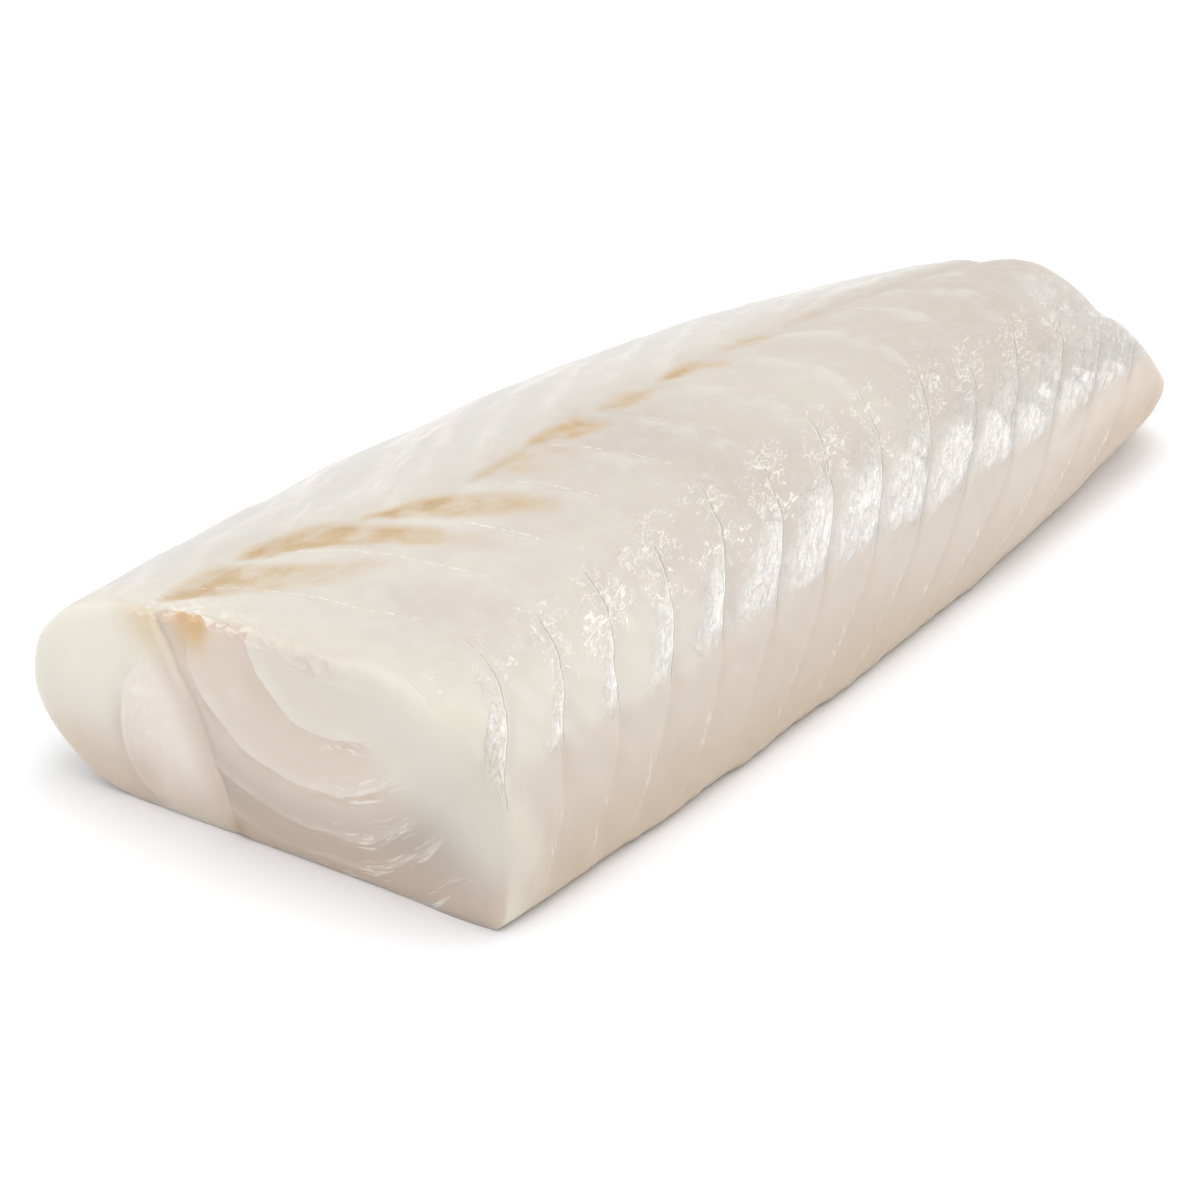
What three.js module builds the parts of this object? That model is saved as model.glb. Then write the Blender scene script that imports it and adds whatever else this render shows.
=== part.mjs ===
// A raw cod loin, skinless and boneless: one thick piece of fillet, all in millimetres.
// +X runs from the cut face to the far, thinner end, +Z is up, and the flat underside is at z = 0.
// "Right" is the -Y side, where the loin is steep, and "left" is the +Y side, where it thins out.
import * as THREE from 'three';
import { mergeVertices } from 'three/addons/utils/BufferGeometryUtils.js';

const length = 210;
const cutSkew = -0.071; // the cut isn't square: its left side leans out, mm per mm across
const cutTilt = -0.018; // and its top leans out a little too, mm per mm up
const cutRimRadii = [5, 3]; // how rounded the cut's rim is on the right and on the left
const sharpRimRadius = 1.6; // and how sharp it is between them
const sharpRimShare = 0.545; // where that is, as a share of the outline from the right foot
const sharpRimWidth = 0.14;
const cutFootInset = 0.8; // the cut face curls under where it meets the table
const cutFootHeight = 2.5;
const cutReach = 10; // how far in from the cut its relief moves the underside
const farEndRadius = 11;
const farEndDraw = 6.6; // how far the rounding of the far end draws its rim in
const farEndDome = 4;
const farFlakeScale = 1.5;
const farFlakeShare = 0.4;
const farHump = 1.8; // the last flake on the top stands up before the far end rounds over
const farHumpFromEnd = 8;
const farHumpLength = 8;
const farHumpLeftAngle = 104; // it's gone at this angle on the left
const farHumpFade = 24; // degrees

// How a size changes from the cut face (s = 0) to the far end (s = 1).
// A higher "late" keeps the near size for longer, and "swell" adds fullness halfway.
const taper = (near, far, late, swell = 0) => (s) =>
  near + (far - near) * s ** late + 4 * swell * s * (1 - s);

// Places in the cross-section, y across and z up
const rightFootY = taper(-44.2, -25, 3, 0.4);
const rightSideY = taper(-46.5, -36.3, 2);
const rightSideZ = taper(4.2, 11, 0.6);
const crestY = taper(-10.6, -8.3, 2);
const crestZ = taper(40.5, 27.3, 3, 0.9);
const leftTipY = taper(47.8, 25, 2.2);
const leftTipZ = taper(16.8, 9.4, 1.5);
const leftFootY = taper(24, 16.5, 2, 3.5);
// How square the shoulders are: 2 is an ellipse, and more is squarer
const rightUnderPower = taper(2, 1.15, 1.5);
const rightShoulderPower = taper(2.6, 1.55, 1.4);
const leftShoulderPower = taper(2.42, 1.65, 4);
const leftUnderPower = taper(2.05, 2, 0.6); // the underside cuts in below the left edge, most at the cut

// Flakes: the muscle blocks that show as leaning bands on the outside
const flakeSpacing = 16.8;
const firstSeam = 13.5; // the first seam's distance from the cut, along the top
const flakeBulge = 0.8;
const seamDepth = 0.9;
const seamWidth = 2.6;
const seamTopAngle = 80; // degrees round the axis where a seam is nearest to the far end
const seamShoulderAngle = 32;
const seamLean = taper(2, 36, 0.62); // how far a seam runs back by that shoulder angle
const seamCurve = 1.7;
const seamLeftAngle = 118; // on the left it runs back less, down to the lateral line
const seamLeftShare = 0.8;
const seamLeftCurve = 1.5;
const seamBeyond = 0.7; // and forward again beyond that line, mm per degree
const seamFadeAngle = 70; // seams are deep below this angle and shallow above it
const seamFadeWidth = 30;
const topFlakeShare = 0.4;
const axisY = -3; // the line that the angles are measured round, on the underside
const footClearance = 6; // the relief fades out this far above the table

// The lateral line: a furrow along the top, left of the crest
const lateralAngle = 103;
const lateralSwing = 20; // it starts further left at the cut
const lateralSwingLength = 38;
const lateralDepth = 0.6;
const lateralWidth = 5; // degrees
const shoulderFurrowAngle = 53; // parts the side flakes from the top near the far end
const shoulderFurrowDepth = 1.3;
const shoulderFurrowStart = 0.7; // share of the length

// The cut face: nested flakes round a core under the crest, and more round a lobe left of the main seam
const nestY = -11;
const nestZ = 38;
// Each lip's distance from the nest's middle: towards the left, straight down and towards the right
const nestLips = [[12.7, 13.2, 15.5], [26, 23.2, 22.6], [33.5, 30.6, 29.5], [39.5, 35.8, 33]];
const lipLeftBearing = 60; // degrees from straight down
const lipRightBearing = 50;
const outerFlake = 9; // how wide the flake outside the last lip is
const lobeY = 20.5; // the oval lobe in the middle of the second nest
const lobeZ = 14.7;
const lobeHalfWidth = 7.5;
const lobeHalfHeight = 12.5;
const lobeRings = [1, 1.7, 2.7]; // the lips round the lobe, in its own sizes
const lobeBulge = 0.8;
const lipHeight = 1.8;
const mainSeam = [[20, 35], [13.5, 23.5], [8, 9], [5, -1]];
const mainSeamDepth = 1.6;
const mainSeamWidth = 2;
const notchY = 13;
const notchZ = 36.5;
const notchWidth = 4.3;
const notchDepth = 3;

// Mesh rows
const rowsAlong = 60;
const rowsAcross = 30;
const rowsUp = 13;
const rightShare = 0.27; // shares of the outline that are the mesh's right and left sides
const leftShare = 0.22;
const outlineSteps = 10;

const degrees = THREE.MathUtils.radToDeg;
const { clamp, lerp, smoothstep } = THREE.MathUtils;
const bell = (distance, width) => Math.exp(-((distance / width) ** 2));
const plateau = (distance, width) => Math.exp(-((distance / width) ** 4));

// The outline of a cross-section from the right foot over the top to the left foot
function sectionOutline(s) {
  const points = [];
  const addQuarter = (place) => {
    for (let i = points.length ? 1 : 0; i <= outlineSteps; i += 1) {
      const angle = (i / outlineSteps) * (Math.PI / 2);
      points.push(new THREE.Vector3(0, ...place(Math.cos(angle), Math.sin(angle))));
    }
  };
  const right = 2 / rightShoulderPower(s);
  const left = 2 / leftShoulderPower(s);
  const rightUnder = 2 / rightUnderPower(s);
  const leftUnder = 2 / leftUnderPower(s);
  addQuarter((c, n) => [
    lerp(rightFootY(s), rightSideY(s), n ** rightUnder),
    rightSideZ(s) * (1 - c ** rightUnder),
  ]);
  addQuarter((c, n) => [
    lerp(crestY(s), rightSideY(s), c ** right),
    lerp(rightSideZ(s), crestZ(s), n ** right),
  ]);
  addQuarter((c, n) => [
    lerp(crestY(s), leftTipY(s), n ** left),
    lerp(leftTipZ(s), crestZ(s), c ** left),
  ]);
  addQuarter((c, n) => [
    lerp(leftFootY(s), leftTipY(s), c ** leftUnder),
    leftTipZ(s) * (1 - n ** leftUnder),
  ]);
  points[0].z = 0;
  points[points.length - 1].z = 0;
  return new THREE.CatmullRomCurve3(points);
}

// Where a point lies within its flake: whole numbers are seams
function flakePhase(x, angle) {
  const lateral = lateralAngleAt(x);
  const right = Math.max(seamTopAngle - angle, 0) / (seamTopAngle - seamShoulderAngle);
  const left = Math.max(Math.min(angle, lateral) - seamTopAngle, 0) / (seamLeftAngle - seamTopAngle);
  const back = right ** seamCurve + seamLeftShare * left ** seamLeftCurve;
  const forward = seamBeyond * Math.max(angle - lateral, 0);
  const lean = seamLean(Math.max(x / length, 0));
  return (x + lean * back - forward - firstSeam) / flakeSpacing;
}

function lateralAngleAt(x) {
  return lateralAngle + lateralSwing * plateau(x, lateralSwingLength);
}

// How far the outside stands proud of the plain section, by length and angle
function skinRelief(x, angle) {
  const phase = flakePhase(x, angle);
  const offset = phase - Math.round(phase);
  const bulge = flakeBulge * (1 - 4 * offset ** 2);
  const seam = seamDepth * bell(offset * flakeSpacing, seamWidth);
  const strength = lerp(topFlakeShare, 1, smoothstep(seamFadeAngle - angle, 0, seamFadeWidth));
  const lateral = lateralDepth * bell(angle - lateralAngleAt(x), lateralWidth);
  const farShare = smoothstep(x, length * shoulderFurrowStart, length);
  const shoulder = shoulderFurrowDepth * farShare * bell(angle - shoulderFurrowAngle, lateralWidth);
  const onTop = smoothstep(angle, shoulderFurrowAngle, seamTopAngle);
  const clearOfLeft = smoothstep(farHumpLeftAngle - angle, 0, farHumpFade);
  const hump = farHump * onTop * clearOfLeft * bell(length - x - farHumpFromEnd, farHumpLength);
  return strength * (bulge - seam) - lateral - shoulder + hump;
}

// How much a section is drawn in where the ends round over, at a share of its outline
function endInset(x, share) {
  const sharp = plateau(share - sharpRimShare, sharpRimWidth);
  const rim = lerp(lerp(...cutRimRadii, share), sharpRimRadius, sharp);
  const near = clamp(1 - x / rim, 0, 1);
  const far = clamp(1 - (length - x) / farEndRadius, 0, 1);
  const rounded = (part) => 1 - Math.sqrt(1 - part ** 2);
  return rim * rounded(near) + farEndDraw * rounded(far);
}

// The outline's point at a share of its length, with the relief and the rounded ends
function skinPoint(outline, s, share) {
  const point = outline.getPointAt(share);
  const tangent = outline.getTangentAt(share);
  const angle = degrees(Math.atan2(point.z, axisY - point.y));
  const clearOfFoot = smoothstep(point.z, 0, footClearance);
  const proud = clearOfFoot * (skinRelief(s * length, angle) - endInset(s * length, share));
  point.y -= tangent.z * proud;
  point.z += tangent.y * proud;
  return point;
}

function distanceToSeam(place) {
  let nearest = Infinity;
  for (let i = 1; i < mainSeam.length; i += 1) {
    const start = new THREE.Vector2(...mainSeam[i - 1]);
    const step = new THREE.Vector2(...mainSeam[i]).sub(start);
    const along = clamp(place.clone().sub(start).dot(step) / step.lengthSq(), 0, 1);
    nearest = Math.min(nearest, start.addScaledVector(step, along).distanceTo(place));
  }
  return nearest;
}

// The radii of the main nest's lips at a place, as they open out to either side
function nestRadiiAt(y, z) {
  const bearing = degrees(Math.atan2(y - nestY, nestZ - z));
  const toLeft = clamp(bearing / lipLeftBearing, 0, 1);
  const toRight = clamp(-bearing / lipRightBearing, 0, 1) ** 2;
  return nestLips.map(([left, down, right]) => down + (left - down) * toLeft + (right - down) * toRight);
}

// How far the cut face stands out: each flake rises to its outer lip and then drops
function cutRelief(y, z) {
  const [seamTopY, seamTopZ] = mainSeam[0];
  const seamFootY = mainSeam.at(-1)[0];
  const leftOfSeam = y > lerp(seamFootY, seamTopY, clamp(z / seamTopZ, 0, 1));
  const [radius, radii] = leftOfSeam
    ? [Math.hypot((y - lobeY) / lobeHalfWidth, (z - lobeZ) / lobeHalfHeight), [0, ...lobeRings]]
    : [Math.hypot(y - nestY, z - nestZ), [0, ...nestRadiiAt(y, z)]];
  const ring = radii.findLastIndex((r) => radius >= r);
  const inner = radii[ring];
  const outer = radii[ring + 1] ?? inner + outerFlake;
  const rise = clamp((radius - inner) / (outer - inner), 0, 1);
  const onLobe = leftOfSeam && ring === 0;
  const lip = onLobe ? lobeBulge * (1 - rise ** 2) : lipHeight * (rise ** 2 - 0.5);
  const seam = mainSeamDepth * bell(distanceToSeam(new THREE.Vector2(y, z)), mainSeamWidth);
  const notch = notchDepth * bell(y - notchY, notchWidth) * bell(z - notchZ, notchWidth);
  return lip - seam - notch;
}

// The far end shows the same flakes, smaller and shallower, as the fillet is thinner there
function farRelief(y, z) {
  return farFlakeShare * cutRelief(y * farFlakeScale, z * farFlakeScale);
}

// A point of the solid: s runs along it, and u, v cross the section from the right foot
function loinPoint(outline, s, u, v) {
  const topShare = 1 - rightShare - leftShare;
  const right = skinPoint(outline, s, v * rightShare);
  const left = skinPoint(outline, s, 1 - v * leftShare);
  const top = skinPoint(outline, s, rightShare + u * topShare);
  const foot = outline.getPointAt(0).lerp(outline.getPointAt(1), u);
  const corners = new THREE.Vector3()
    .addScaledVector(outline.getPointAt(0), (1 - u) * (1 - v))
    .addScaledVector(outline.getPointAt(1), u * (1 - v))
    .addScaledVector(skinPoint(outline, s, rightShare), (1 - u) * v)
    .addScaledVector(skinPoint(outline, s, 1 - leftShare), u * v);
  const point = new THREE.Vector3()
    .addScaledVector(foot, 1 - v)
    .addScaledVector(top, v)
    .addScaledVector(right, 1 - u)
    .addScaledVector(left, u)
    .sub(corners);
  const { y, z } = point;
  const fromSkin = smoothstep(Math.min(2 * (1 - v), 5 * u, 5 * (1 - u)), 0, 0.35);
  const fromFarRim = smoothstep(Math.min(3 * (1 - v), 3 * v, 4 * u, 4 * (1 - u)), 0, 1);
  const near = Math.max(1 - (s * length) / cutReach, 0) ** 2;
  const underCurl = cutFootInset * bell(z, cutFootHeight);
  point.x = s * length + (1 - s) * (cutSkew * y + cutTilt * z + underCurl);
  point.x -= near * fromSkin * cutRelief(y, z);
  if (s === 1) point.x += fromFarRim * (farEndDome + farRelief(y, z));
  return point;
}

// The rows of the mesh stand closer together where the two ends round over
function stationAt(row) {
  const nearRows = [0, 0.4, 1.4, 3.4];
  const farRows = [0, 1.2, 4];
  if (row < nearRows.length) return nearRows[row] / length;
  if (rowsAlong - row < farRows.length) return 1 - farRows[rowsAlong - row] / length;
  const share = (row - nearRows.length + 1) / (rowsAlong - nearRows.length - farRows.length + 2);
  return lerp(nearRows.at(-1) / length, 1 - farRows.at(-1) / length, share);
}

function loinGeometry() {
  const blank = new THREE.BoxGeometry(1, 1, 1, rowsAlong, rowsAcross, rowsUp);
  blank.deleteAttribute('normal');
  blank.deleteAttribute('uv');
  const geometry = mergeVertices(blank, 1e-5);
  const places = geometry.getAttribute('position');
  const outlines = Array.from({ length: rowsAlong + 1 }, (_, row) => sectionOutline(stationAt(row)));
  for (let i = 0; i < places.count; i += 1) {
    const row = Math.round((places.getX(i) + 0.5) * rowsAlong);
    const u = places.getY(i) + 0.5;
    const v = places.getZ(i) + 0.5;
    const point = loinPoint(outlines[row], stationAt(row), u, v);
    places.setXYZ(i, point.x, point.y, Math.max(point.z, 0));
  }
  geometry.computeBoundingBox();
  const centre = geometry.boundingBox.getCenter(new THREE.Vector3());
  geometry.translate(-centre.x, -centre.y, -geometry.boundingBox.min.z);
  geometry.computeVertexNormals();
  return geometry;
}

const rawCod = new THREE.MeshStandardMaterial({ color: 0xe6ded2, roughness: 0.35, metalness: 0 });
const codLoin = new THREE.Mesh(loinGeometry(), rawCod);
codLoin.name = 'cod_loin';

const model = new THREE.Group();
model.add(codLoin);

export default model;
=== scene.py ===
import math

import bpy
import numpy as np
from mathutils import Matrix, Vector, noise


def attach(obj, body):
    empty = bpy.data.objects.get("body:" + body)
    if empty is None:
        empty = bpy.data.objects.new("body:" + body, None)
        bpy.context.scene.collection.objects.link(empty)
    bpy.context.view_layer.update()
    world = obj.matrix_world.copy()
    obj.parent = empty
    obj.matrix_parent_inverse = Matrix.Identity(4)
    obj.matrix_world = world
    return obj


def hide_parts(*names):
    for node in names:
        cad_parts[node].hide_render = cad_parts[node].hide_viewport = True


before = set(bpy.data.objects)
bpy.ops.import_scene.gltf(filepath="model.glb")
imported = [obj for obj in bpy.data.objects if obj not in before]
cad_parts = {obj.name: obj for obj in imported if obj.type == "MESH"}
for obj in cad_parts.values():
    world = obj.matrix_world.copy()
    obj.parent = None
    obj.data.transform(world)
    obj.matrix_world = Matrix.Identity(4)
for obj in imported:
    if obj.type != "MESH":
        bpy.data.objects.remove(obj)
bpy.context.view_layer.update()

millimetre = 0.001

# Where the loin's own measures start: x from the cut, y from its middle line
loinOrigin = {"x": -105.14, "y": -0.48}   # mm in the frame

camera = {
    "azimuth": -51.8,
    "elevation": 29.0,
    "distance": 0.851,
    "target": (-0.0298, -0.0084, 0.0151),
    "lens": 153.7,
    "sensor": 36.0,
    "nearest": 0.01,
}


def clearSelection():
    if bpy.context.object and bpy.context.object.mode != "OBJECT":
        bpy.ops.object.mode_set(mode="OBJECT")
    bpy.ops.object.select_all(action="DESELECT")


def makeCurrent(piece):
    clearSelection()
    piece.select_set(True)
    bpy.context.view_layer.objects.active = piece


def towards(azimuth, elevation):
    # the direction from the loin to something at that azimuth and elevation, in degrees
    a = math.radians(azimuth)
    e = math.radians(elevation)
    return Vector((math.sin(a) * math.cos(e), -math.cos(a) * math.cos(e), math.sin(e)))


def placeCamera():
    back = towards(camera["azimuth"], camera["elevation"])
    place = Vector(camera["target"]) + back * camera["distance"]
    bpy.ops.object.camera_add(location=place, rotation=(-back).to_track_quat("-Z", "Y").to_euler())
    eye = bpy.context.object
    eye.name = "photoCamera"
    eye.data.lens = camera["lens"]
    eye.data.sensor_width = camera["sensor"]
    eye.data.clip_start = camera["nearest"]
    bpy.context.scene.camera = eye


placeCamera()
print("camera placed")


# The outside of the loin, in mm and in degrees round the line on its underside
outside = {
    "length": 210,
    "axisY": -3,
    "flakeSpacing": 16.8,
    "firstSeam": 13.5,
    "seamTopAngle": 80,
    "seamShoulderAngle": 32,
    "seamLean": (2, 36, 0.62),           # near, far, how late it grows
    "seamCurve": 1.7,
    "seamLeftAngle": 118,
    "seamLeftShare": 0.8,
    "seamLeftCurve": 1.5,
    "seamBeyond": 0.7,
    "cordShift": (3, 6),                 # mm by which the cords stand up round the shoulder
    "cordShiftLength": 50,
    "lateralAngle": 103,
    "lateralSwing": 20,
    "lateralSwingLength": 38,
}

# What the solid already has of the flakes, taken off before the finer flakes go on
solidFlakes = {"bulge": 0.8, "seamDepth": 0.9, "seamWidth": 2.6, "onTop": 0.4}

# The finer flakes: each one climbs to its far edge and falls there into a groove
fineFlakes = {
    "crown": 0.5,
    "climb": 0.35,
    "edge": 1.3,           # mm over which it falls
    "groove": 0.15,
    "grooveWidth": 1.0,
    "onBand": 1.0,         # strength along the shoulder, on the top and low on the side
    "onTop": 0.14,
    "onSide": 0.3,
    "wander": 0.1,
    "swell": 0.5,
    "dimple": 0.14,
    "crinkle": 0.1,
    "footJut": 0.45,
}

# Tan muscle under the lateral line, a slanting patch in each flake from the cut on: how strong and
# how many degrees deep it is, and where in the flake it starts and ends at its top and at its foot
tanPatches = (
    (1.0, 32, (-0.55, 0.5), (-0.2, 0.28)),
    (1.1, 32, (-0.17, 0.66), (-0.1, 0.22)),
    (1.2, 28, (-0.06, 0.52), (-0.14, 0.23)),
    (0.5, 17, (0.1, 0.95), (0.0, 0.6)),
    (1.2, 11, (0.0, 0.8), (0.2, 0.6)),
    (0.75, 6, (0.2, 0.88), (0.2, 0.88)),
    (1.1, 9, (0.25, 0.86), (0.4, 0.7)),
    (0.7, 7, (0.35, 0.85), (0.35, 0.85)),
    (0.3, 6, (0.45, 0.9), (0.45, 0.9)),
    (0.15, 6, (0.5, 0.9), (0.5, 0.9)),
)


def bell(distance, width):
    return np.exp(-((distance / width) ** 2))


def plateau(distance, width):
    return np.exp(-((distance / width) ** 4))


def smoothRise(value, low, high):
    t = np.clip((value - low) / (high - low), 0, 1)
    return t * t * (3 - 2 * t)


def lateralAngleAt(x):
    return outside["lateralAngle"] + outside["lateralSwing"] * plateau(x, outside["lateralSwingLength"])


def flakePhase(x, angle):
    # whole numbers are seams
    leanNear, leanFar, late = outside["seamLean"]
    lean = leanNear + (leanFar - leanNear) * np.maximum(x / outside["length"], 0) ** late
    lateral = lateralAngleAt(x)
    top = outside["seamTopAngle"]
    right = np.maximum(top - angle, 0) / (top - outside["seamShoulderAngle"])
    left = np.maximum(np.minimum(angle, lateral) - top, 0) / (outside["seamLeftAngle"] - top)
    back = right ** outside["seamCurve"] + outside["seamLeftShare"] * left ** outside["seamLeftCurve"]
    forward = outside["seamBeyond"] * np.maximum(angle - lateral, 0)
    return (x + lean * back - forward - outside["firstSeam"]) / outside["flakeSpacing"]


def cordShift(x, angle):
    far, near = outside["cordShift"]
    shift = far + near * np.exp(-np.maximum(x, 0) / outside["cordShiftLength"])
    return shift * smoothRise(angle, 30, 52) * smoothRise(angle, 84, 60)


def coarseFlakes(x, angle):
    phase = flakePhase(x, angle)
    offset = phase - np.round(phase)
    bulge = solidFlakes["bulge"] * (1 - 4 * offset ** 2)
    seam = solidFlakes["seamDepth"] * bell(offset * outside["flakeSpacing"], solidFlakes["seamWidth"])
    onTop = solidFlakes["onTop"]
    return (onTop + (1 - onTop) * smoothRise(70 - angle, 0, 30)) * (bulge - seam)


def fineFlakeRelief(along, angle, phase):
    share = phase - np.floor(phase)
    fromSeam = share * outside["flakeSpacing"]
    fall = 1 - smoothRise(fromSeam, 0, fineFlakes["edge"])
    height = fineFlakes["crown"] * 4 * share * (1 - share) + fineFlakes["climb"] * (share ** 3 + fall)
    height -= fineFlakes["groove"] * bell(fromSeam - fineFlakes["edge"], fineFlakes["grooveWidth"])
    toTop = smoothRise(angle, 40, 60)
    toSide = smoothRise(angle, 32, 26)
    onTop = fineFlakes["onTop"] * smoothRise(along, 150, 70)
    strength = fineFlakes["onBand"] + (onTop - fineFlakes["onBand"]) * toTop
    strength += (fineFlakes["onSide"] - fineFlakes["onBand"]) * toSide
    return strength * height


def tanField(lateral, phase, brush):
    # how tan the muscle is, from 0 to 1
    tan = np.zeros(lateral.shape)
    slanted = phase - 0.02 * np.maximum(-lateral, 0)
    for number, (strength, depth, atTop, atFoot) in enumerate(tanPatches):
        share = slanted - number
        down = np.clip(-lateral / depth, 0, 1)
        start = atTop[0] + (atFoot[0] - atTop[0]) * down
        end = atTop[1] + (atFoot[1] - atTop[1]) * down
        inFlake = smoothRise(share, start - 0.2, start + 0.14) * smoothRise(share, end + 0.2, end - 0.16)
        tan = np.maximum(tan, strength * inFlake * (1 - down) ** 0.8 * smoothRise(lateral, 2.5, -1.5))
    return np.minimum(tan, 1) * np.clip(0.95 + 0.7 * brush, 0.4, 1.2)


# The cut face, in mm across and up from the loin's middle line
cutFace = {
    "skew": -0.071,
    "tilt": -0.018,
    "footInset": 0.8,
    "footHeight": 2.5,
    "nest": (-11, 38),
    "lips": ((12.7, 13.2, 15.5), (26, 23.2, 22.6), (33.5, 30.6, 29.5), (39.5, 35.8, 33)),
    "lipBearings": (60, 50),
    "outerFlake": 9,
    "lobe": (20.5, 14.7),
    "lobeHalf": (7.5, 12.5),
    "lobeRings": (0, 1, 1.7, 2.7),
    "lobeBulge": 0.5,
    "rimRadii": (5, 3),                       # on the right and on the left
    "sharpRim": 1.6,
    "sharpRimAt": (14, 24),                   # its middle and half width
    "footClearance": 6,
    "lip": (0.4, 0.4, 0.4, 0.25, 0.1),        # how far each lip stands over the next flake
    "sideLip": (0.3, 0.1, 0.0),
    "ripple": 0.3,
    "mainSeam": ((20, 35), (13.5, 23.5), (8, 9), (5, -1)),
    "mainSeamDepth": 0.3,
    "mainSeamWidth": 1.3,
    "notch": (13.5, 36.5),
    "notchWidth": (3.2, 4.2),
    "notchDepth": 1.8,
    "fringe": 0.8,                            # the membrane's ragged edge over the cut
}


def cutPlane(y, z):
    curl = cutFace["footInset"] * bell(z, cutFace["footHeight"])
    return cutFace["skew"] * y + cutFace["tilt"] * z + curl


def cutOutline():
    # the section at the cut, from the right foot over the top to the left foot
    quarter = np.linspace(0, math.pi / 2, 40)
    c = np.cos(quarter)
    n = np.sin(quarter)
    right = 2 / 2.6
    left = 2 / 2.42
    under = 2 / 2.05
    crest = (-10.6, 40.5)
    rightSide = (-46.5, 4.2)
    leftTip = (47.8, 16.8)
    footY = (-44.2, 24)
    parts = [
        (footY[0] + (rightSide[0] - footY[0]) * n, rightSide[1] * (1 - c)),
        (
            crest[0] + (rightSide[0] - crest[0]) * c ** right,
            rightSide[1] + (crest[1] - rightSide[1]) * n ** right,
        ),
        (
            crest[0] + (leftTip[0] - crest[0]) * n ** left,
            leftTip[1] + (crest[1] - leftTip[1]) * c ** left,
        ),
        (footY[1] + (leftTip[0] - footY[1]) * c ** under, leftTip[1] * (1 - n ** under)),
    ]
    return np.concatenate([np.stack(part, -1) for part in parts])


def distanceToLine(y, z, points):
    nearest = np.full(y.shape, 1e9)
    for (ay, az), (by, bz) in zip(points[:-1], points[1:]):
        stepY = by - ay
        stepZ = bz - az
        share = np.clip(((y - ay) * stepY + (z - az) * stepZ) / (stepY ** 2 + stepZ ** 2 + 1e-9), 0, 1)
        nearest = np.minimum(nearest, np.hypot(y - ay - share * stepY, z - az - share * stepZ))
    return nearest


def nestBearing(y, z):
    # degrees from straight down, more to the left
    return np.degrees(np.arctan2(y - cutFace["nest"][0], cutFace["nest"][1] - z))


def mainRings(y, z, stray):
    # 0 to 1 is the core, and each whole number is a flake's outer lip
    radius = np.hypot(y - cutFace["nest"][0], z - cutFace["nest"][1]) + stray
    bearing = nestBearing(y, z)
    leftBearing, rightBearing = cutFace["lipBearings"]
    toLeft = np.clip(bearing / leftBearing, 0, 1)
    toRight = np.clip(-bearing / rightBearing, 0, 1) ** 2
    lips = [
        down + (left - down) * toLeft + (right - down) * toRight
        for left, down, right in cutFace["lips"]
    ]
    lips = [0 * radius] + lips + [lips[-1] + cutFace["outerFlake"]]
    rings = np.zeros(radius.shape)
    for inner, outer in zip(lips[:-1], lips[1:]):
        rings += np.clip((radius - inner) / (outer - inner), 0, 1)
    return np.minimum(rings, len(lips) - 1.001)


def sideRings(y, z, stray):
    # 0 to 1 is the oval lobe
    across = (y - cutFace["lobe"][0]) / cutFace["lobeHalf"][0]
    up = (z - cutFace["lobe"][1]) / cutFace["lobeHalf"][1]
    size = np.hypot(np.where(across < 0, 0.45 * across, across), up) + 0.08 * stray
    rings = np.interp(size, cutFace["lobeRings"], range(len(cutFace["lobeRings"])))
    return np.minimum(rings, len(cutFace["lobeRings"]) - 1.001)


def rimRadiusAt(y, z):
    # how rounded the cut's rim is there
    right, left = cutFace["rimRadii"]
    radius = right + (left - right) * smoothRise(y, -20, 40)
    middle, width = cutFace["sharpRimAt"]
    sharp = plateau(y - middle, width) * smoothRise(z, 14, 24)
    return (radius + (cutFace["sharpRim"] - radius) * sharp) * smoothRise(z, 0, cutFace["footClearance"])


def seamSide(y, z):
    # mm left of the main seam, below 0 on its right
    points = cutFace["mainSeam"]
    seamY = np.interp(z, [p[1] for p in points[::-1]], [p[0] for p in points[::-1]])
    return np.sign(y - seamY) * distanceToLine(y, z, points)


def notchField(y, z):
    across = bell(y - cutFace["notch"][0], cutFace["notchWidth"][0])
    return across * bell(z - cutFace["notch"][1], cutFace["notchWidth"][1])


def lipRelief(rings, heights):
    # a flake starts low, climbs to its lip, and drops to the next flake's start
    number = np.clip(np.floor(rings), 0, len(heights) - 1).astype(int)
    share = rings - np.floor(rings)
    over = np.concatenate([[0.0], np.array(heights)])[number]
    return -over * (1 - share) ** 1.6 * smoothRise(share, 0, 0.14)


def lipClearness(y, z, patchy):
    # the lips are crisp on the lower left of each nest and gone on its right
    main = smoothRise(nestBearing(y, z), -50, -22)
    side = smoothRise(y, 19, 24) * smoothRise(z, 29, 25)
    return np.where(seamSide(y, z) > 0, side, main) * np.clip(0.75 + 0.6 * patchy, 0.3, 1)


def cutRelief(y, z, stray, clearness):
    main = lipRelief(mainRings(y, z, stray), cutFace["lip"])
    rings = sideRings(y, z, stray)
    bulge = cutFace["lobeBulge"] * np.maximum(1 - rings ** 2, 0)
    left = seamSide(y, z)
    relief = clearness * np.where(left > 0, lipRelief(rings, cutFace["sideLip"]), main)
    relief += np.where(left > 0, bulge * smoothRise(left, 0, 2), 0)
    relief -= cutFace["mainSeamDepth"] * smoothRise(z, 2, 18) * bell(left, cutFace["mainSeamWidth"])
    return relief - cutFace["notchDepth"] * notchField(y, z)


def readPlaces(mesh):
    places = np.zeros(len(mesh.vertices) * 3)
    mesh.vertices.foreach_get("co", places)
    return places.reshape(-1, 3)


def readNormals(mesh):
    normals = np.zeros(len(mesh.vertices) * 3)
    mesh.vertices.foreach_get("normal", normals)
    return normals.reshape(-1, 3)


def writePlaces(mesh, places):
    mesh.vertices.foreach_set("co", places.ravel())
    mesh.update()


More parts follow.
